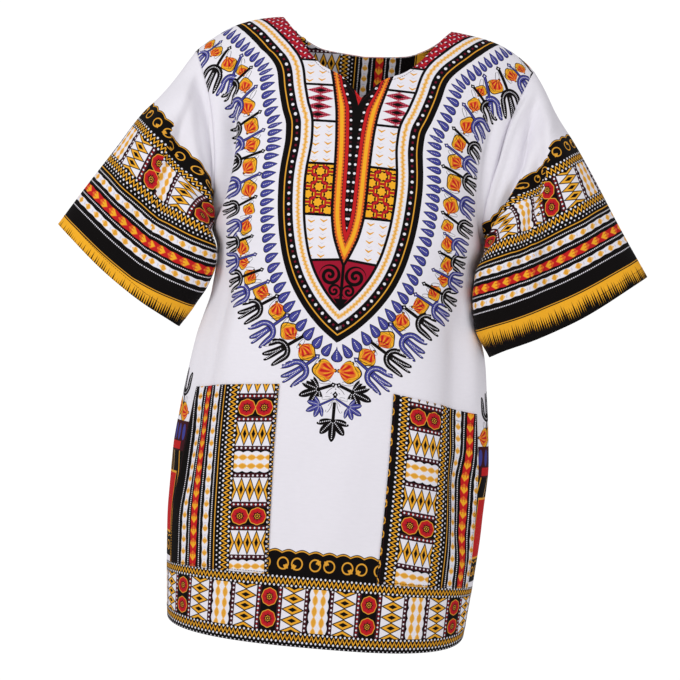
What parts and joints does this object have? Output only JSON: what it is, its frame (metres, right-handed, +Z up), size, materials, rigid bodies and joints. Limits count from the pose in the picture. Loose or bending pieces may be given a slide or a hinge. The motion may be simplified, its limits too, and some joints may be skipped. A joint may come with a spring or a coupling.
{
  "type": "dashiki shirt",
  "caption": "Loose short-sleeved pullover shirt with a wide neck slit at the front, wide open sleeves, two patch pockets and printed borders, standing open in its worn form.",
  "frame": {"origin": "between the two neck-shoulder points, at their height, where the wearer's shoulders hold the shirt", "axes": "+Z up, -Y out of the front of the shirt, +X towards the wearer's left sleeve"},
  "size_m": [0.7472, 0.252, 0.7757],
  "materials": {
    "printed_white": "printed plain-weave cotton, white ground",
    "printed_border": "printed plain-weave cotton, dark banded ground",
    "facing": "printed plain-weave cotton, back neck facing"
  },
  "bodies": {
    "root": {"front": "printed_white", "back": "printed_white", "sleeve_right": "printed_border", "sleeve_left": "printed_border", "pocket_right": "printed_border", "pocket_left": "printed_border", "neck_facing": "facing"}
  },
  "joints": []
}
